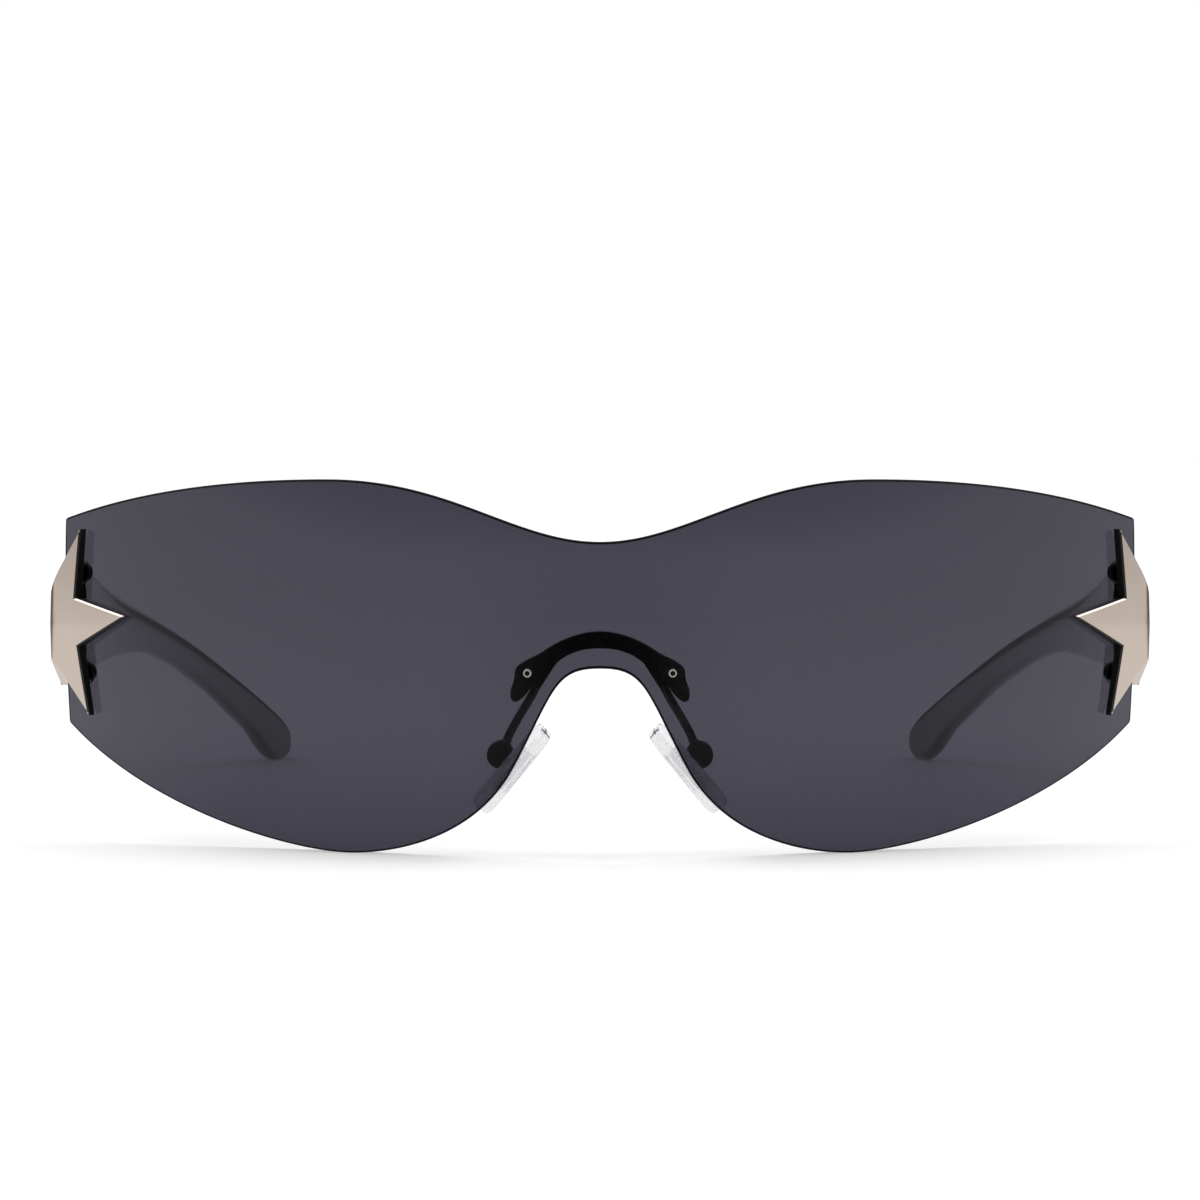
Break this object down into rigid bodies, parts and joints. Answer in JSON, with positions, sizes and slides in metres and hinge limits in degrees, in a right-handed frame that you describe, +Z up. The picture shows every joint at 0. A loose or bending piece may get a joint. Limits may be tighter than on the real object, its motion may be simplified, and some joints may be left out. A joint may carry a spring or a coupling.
{
  "type": "rimless wraparound sunglasses",
  "caption": "Rimless one-piece wraparound sunglasses with a dark toric shield lens, star-shaped end pieces, rocking nose pads and folding temples.",
  "frame": {"origin": "under the middle of the bounding box, on the surface that the sunglasses stand on", "axes": "+X towards the picture's right, +Y from the lens back along the temples to their tips, +Z up"},
  "size_m": [0.148, 0.158, 0.0487],
  "materials": {
    "smoke_lens": "polished dark smoke polycarbonate",
    "black_metal": "satin black plating",
    "champagne_metal": "polished champagne plating on a casting",
    "silver_steel": "bare steel",
    "clear_silicone": "clear glossy silicone",
    "dark_temple": "glossy dark grey",
    "nylon": "natural nylon"
  },
  "bodies": {
    "front": {"shield_lens": "smoke_lens", "nose_bracket": "black_metal", "left_bracket_screw": "silver_steel", "left_bracket_nut": "black_metal", "left_pad_arm": "black_metal", "left_pad_box": "black_metal", "left_pad_screw": "black_metal", "left_star": "champagne_metal", "left_star_screw_upper": "black_metal", "left_star_screw_lower": "black_metal", "left_star_washer_upper": "nylon", "left_star_washer_lower": "nylon", "left_hinge_screw": "silver_steel", "right_bracket_screw": "silver_steel", "right_bracket_nut": "black_metal", "right_pad_arm": "black_metal", "right_pad_box": "black_metal", "right_pad_screw": "black_metal", "right_star": "champagne_metal", "right_star_screw_upper": "black_metal", "right_star_screw_lower": "black_metal", "right_star_washer_upper": "nylon", "right_star_washer_lower": "nylon", "right_hinge_screw": "silver_steel"},
    "left_temple": {"left_temple": "dark_temple", "left_hinge_leaf": "black_metal", "left_leaf_pin": "black_metal"},
    "right_temple": {"right_temple": "dark_temple", "right_hinge_leaf": "black_metal", "right_leaf_pin": "black_metal"},
    "left_pad": {"left_nose_pad": "clear_silicone", "left_pad_insert": "black_metal"},
    "right_pad": {"right_nose_pad": "clear_silicone", "right_pad_insert": "black_metal"}
  },
  "joints": [
    {"name": "left_temple_fold", "type": "hinge", "parent": "front", "child": "left_temple", "pos_m": [-0.0705, -0.04702, 0.0292], "axis": [0, 0, -1], "range_deg": [0, 78]},
    {"name": "right_temple_fold", "type": "hinge", "parent": "front", "child": "right_temple", "pos_m": [0.0705, -0.04702, 0.0292], "axis": [0, 0, 1], "range_deg": [0, 85]},
    {"name": "left_pad_rock", "type": "hinge", "parent": "front", "child": "left_pad", "pos_m": [-0.01285, -0.068, 0.0131], "axis": [0, 1, 0], "range_deg": [-8, 8]},
    {"name": "right_pad_rock", "type": "hinge", "parent": "front", "child": "right_pad", "pos_m": [0.01285, -0.068, 0.0131], "axis": [0, 1, 0], "range_deg": [-8, 8]}
  ]
}
